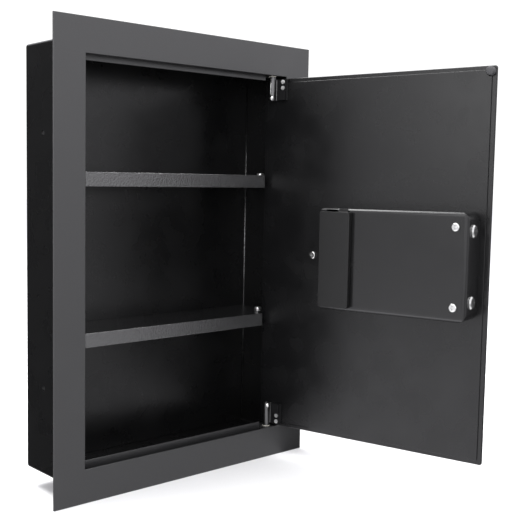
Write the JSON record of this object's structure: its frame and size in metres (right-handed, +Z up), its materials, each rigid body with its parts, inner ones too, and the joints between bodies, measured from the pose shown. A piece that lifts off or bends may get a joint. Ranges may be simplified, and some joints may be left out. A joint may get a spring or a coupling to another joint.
{
  "type": "wall safe",
  "caption": "Flat wall safe for a stud bay: framed steel body with shelves, a right-hinged door and an electronic bolt lock with keypad, knob and emergency key.",
  "frame": {"origin": "centre of the wall cut-out in the plane of the wall, which is the back face of the front frame", "axes": "+X to the right along the wall, +Y into the wall, +Z up"},
  "size_m": [0.4382, 0.3779, 0.555],
  "materials": {
    "frame_paint": "satin powder coat",
    "body_paint": "satin powder coat",
    "shelf_paint": "textured powder coat",
    "door_paint": "satin powder coat",
    "housing_paint": "satin",
    "cover_plastic": "fine matt",
    "panel_plastic": "satin",
    "key_rubber": "matt",
    "bumper_rubber": "matt",
    "zinc_steel": "bright zinc plate",
    "hinge_steel": "grey zinc primer",
    "cast_zinc": "as cast",
    "bush_nylon": "natural",
    "brass": "satin",
    "copper_coil": "enamelled wire",
    "board_green": "solder mask",
    "cell_wrap": "printed sleeve without marks",
    "reset_red": "gloss",
    "lamp_lens": "clear diffuse"
  },
  "bodies": {
    "safe_body": {"front_frame": "frame_paint", "body_shell": "body_paint", "back_panel": "body_paint", "stop_top": "frame_paint", "stop_bottom": "frame_paint", "stop_left": "frame_paint", "strike_plate": "frame_paint", "shelf_upper": "shelf_paint", "shelf_lower": "shelf_paint", "shelf_brackets": "body_paint", "shelf_screws": "zinc_steel", "hinge_plate_upper": "frame_paint", "hinge_plate_lower": "frame_paint", "hinge_bushes": "bush_nylon"},
    "door": {"door_panel": "door_paint", "door_liner": "door_paint", "door_bumper": "bumper_rubber", "hinge_bracket_upper": "hinge_steel", "hinge_bracket_lower": "hinge_steel", "hinge_pins": "zinc_steel", "hinge_screws": "zinc_steel", "pin_screws": "zinc_steel", "lock_housing": "housing_paint", "housing_screws": "zinc_steel", "bolt_guide": "cast_zinc", "circuit_board": "board_green", "board_standoffs": "brass", "solenoid_frame": "zinc_steel", "solenoid_coil": "copper_coil", "plunger_spring": "zinc_steel", "battery_tray": "cover_plastic", "batteries": "cell_wrap", "control_panel": "panel_plastic", "keypad_board": "board_green", "indicator_lights": "lamp_lens", "spindle_bush": "bush_nylon", "lock_cylinder": "zinc_steel", "cover_rivet": "zinc_steel"},
    "knob": {"knob": "panel_plastic", "spindle": "zinc_steel"},
    "bolts": {"bolt_carriage": "zinc_steel", "locking_bolts": "zinc_steel", "bolt_nuts": "zinc_steel"},
    "plunger": {"solenoid_plunger": "zinc_steel"},
    "battery_cover": {"battery_cover": "cover_plastic"},
    "reset_button": {"reset_button": "reset_red"},
    "key_plug": {"key_plug": "brass"},
    "key_cover": {"key_cover": "panel_plastic"},
    "key_1": {"key_1": "key_rubber"},
    "key_2": {"key_2": "key_rubber"},
    "key_3": {"key_3": "key_rubber"},
    "key_4": {"key_4": "key_rubber"},
    "key_5": {"key_5": "key_rubber"},
    "key_6": {"key_6": "key_rubber"},
    "key_7": {"key_7": "key_rubber"},
    "key_8": {"key_8": "key_rubber"},
    "key_9": {"key_9": "key_rubber"},
    "key_star": {"key_star": "key_rubber"},
    "key_0": {"key_0": "key_rubber"},
    "key_hash": {"key_hash": "key_rubber"}
  },
  "joints": [
    {"name": "door_hinge", "type": "hinge", "parent": "safe_body", "child": "door", "pos_m": [0.142, 0.0085, 0], "axis": [0, 0, 1], "range_deg": [-103.5, 7.5]},
    {"name": "knob_turn", "type": "hinge", "parent": "door", "child": "knob", "pos_m": [0.21524, -0.20017, 0.014], "axis": [-0.9724, -0.2334, 0], "range_deg": [-90, 0]},
    {"name": "bolt_slide", "type": "slide", "parent": "door", "child": "bolts", "axis": [0.2334, -0.9724, 0], "range_m": [0, 0.019]},
    {"name": "plunger_slide", "type": "slide", "parent": "door", "child": "plunger", "axis": [0.9724, 0.2334, 0], "range_m": [0, 0.005], "deforming": ["plunger_spring"]},
    {"name": "cover_slide", "type": "slide", "parent": "door", "child": "battery_cover", "axis": [0, 0, 1], "range_m": [0, 0.025]},
    {"name": "reset_press", "type": "slide", "parent": "door", "child": "reset_button", "axis": [0.2334, -0.9724, 0], "range_m": [0, 0.0015], "stiffness_N_per_m": 500},
    {"name": "key_turn", "type": "hinge", "parent": "door", "child": "key_plug", "pos_m": [0.21566, -0.20624, -0.03], "axis": [-0.9724, -0.2334, 0], "range_deg": [0, 90]},
    {"name": "cover_swing", "type": "hinge", "parent": "door", "child": "key_cover", "pos_m": [0.21325, -0.18419, -0.03], "axis": [0.9724, 0.2334, 0], "range_deg": [0, 95]},
    {"name": "key_1_press", "type": "slide", "parent": "door", "child": "key_1", "axis": [-0.9724, -0.2334, 0], "range_m": [0, 0.0012], "stiffness_N_per_m": 400},
    {"name": "key_2_press", "type": "slide", "parent": "door", "child": "key_2", "axis": [-0.9724, -0.2334, 0], "range_m": [0, 0.0012], "stiffness_N_per_m": 400},
    {"name": "key_3_press", "type": "slide", "parent": "door", "child": "key_3", "axis": [-0.9724, -0.2334, 0], "range_m": [0, 0.0012], "stiffness_N_per_m": 400},
    {"name": "key_4_press", "type": "slide", "parent": "door", "child": "key_4", "axis": [-0.9724, -0.2334, 0], "range_m": [0, 0.0012], "stiffness_N_per_m": 400},
    {"name": "key_5_press", "type": "slide", "parent": "door", "child": "key_5", "axis": [-0.9724, -0.2334, 0], "range_m": [0, 0.0012], "stiffness_N_per_m": 400},
    {"name": "key_6_press", "type": "slide", "parent": "door", "child": "key_6", "axis": [-0.9724, -0.2334, 0], "range_m": [0, 0.0012], "stiffness_N_per_m": 400},
    {"name": "key_7_press", "type": "slide", "parent": "door", "child": "key_7", "axis": [-0.9724, -0.2334, 0], "range_m": [0, 0.0012], "stiffness_N_per_m": 400},
    {"name": "key_8_press", "type": "slide", "parent": "door", "child": "key_8", "axis": [-0.9724, -0.2334, 0], "range_m": [0, 0.0012], "stiffness_N_per_m": 400},
    {"name": "key_9_press", "type": "slide", "parent": "door", "child": "key_9", "axis": [-0.9724, -0.2334, 0], "range_m": [0, 0.0012], "stiffness_N_per_m": 400},
    {"name": "key_star_press", "type": "slide", "parent": "door", "child": "key_star", "axis": [-0.9724, -0.2334, 0], "range_m": [0, 0.0012], "stiffness_N_per_m": 400},
    {"name": "key_0_press", "type": "slide", "parent": "door", "child": "key_0", "axis": [-0.9724, -0.2334, 0], "range_m": [0, 0.0012], "stiffness_N_per_m": 400},
    {"name": "key_hash_press", "type": "slide", "parent": "door", "child": "key_hash", "axis": [-0.9724, -0.2334, 0], "range_m": [0, 0.0012], "stiffness_N_per_m": 400}
  ],
  "couplings": [
    {"joint": "knob_turn", "follows": "bolt_slide", "rad_per_m": -82.67}
  ]
}
